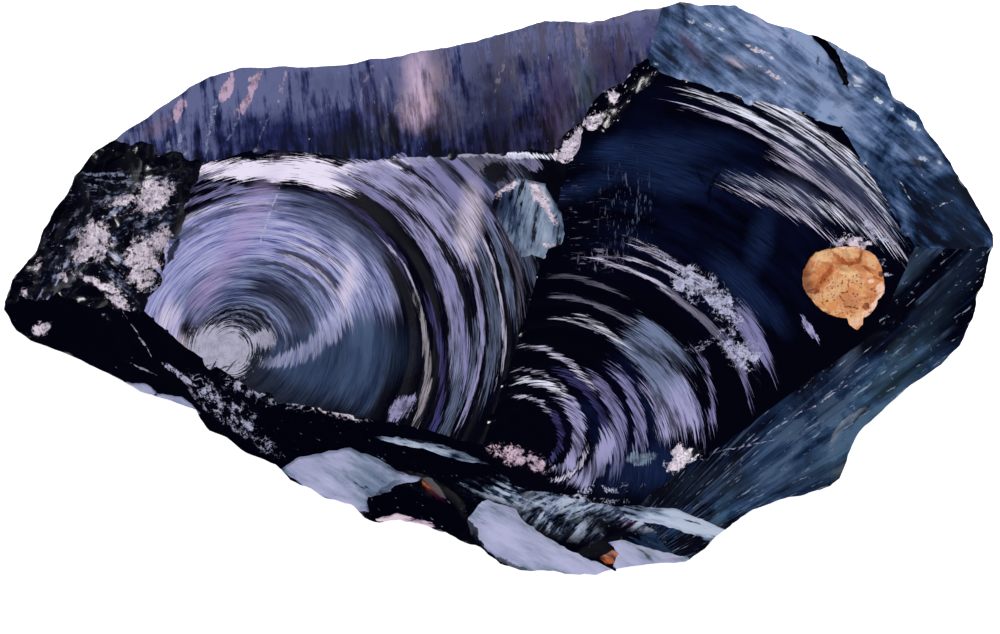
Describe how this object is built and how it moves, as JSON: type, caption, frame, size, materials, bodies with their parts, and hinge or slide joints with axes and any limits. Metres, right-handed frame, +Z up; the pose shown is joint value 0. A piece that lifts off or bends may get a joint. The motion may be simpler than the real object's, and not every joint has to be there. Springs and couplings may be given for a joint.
{
  "type": "obsidian chunk",
  "caption": "Rough obsidian chunk with rippled shell-shaped flake scars, sharp ridges, a flat underside to rest on and a spherulite nodule seated in a pocket.",
  "frame": {"origin": "middle of the bounding box, on the surface the chunk lies on", "axes": "+X along the chunk's length towards its blunt right tip, +Y across it towards the weathered band, +Z up out of the scarred side"},
  "size_m": [0.1492, 0.0852, 0.0342],
  "materials": {
    "obsidian": "black volcanic glass, glossy on fresh flake scars and duller on weathered faces, with a blue-grey to lavender sheen",
    "spherulite": "dull orange-tan crystalline crust with brown cracks"
  },
  "bodies": {
    "root": {"obsidian": "obsidian", "spherulite": "spherulite"}
  },
  "joints": []
}
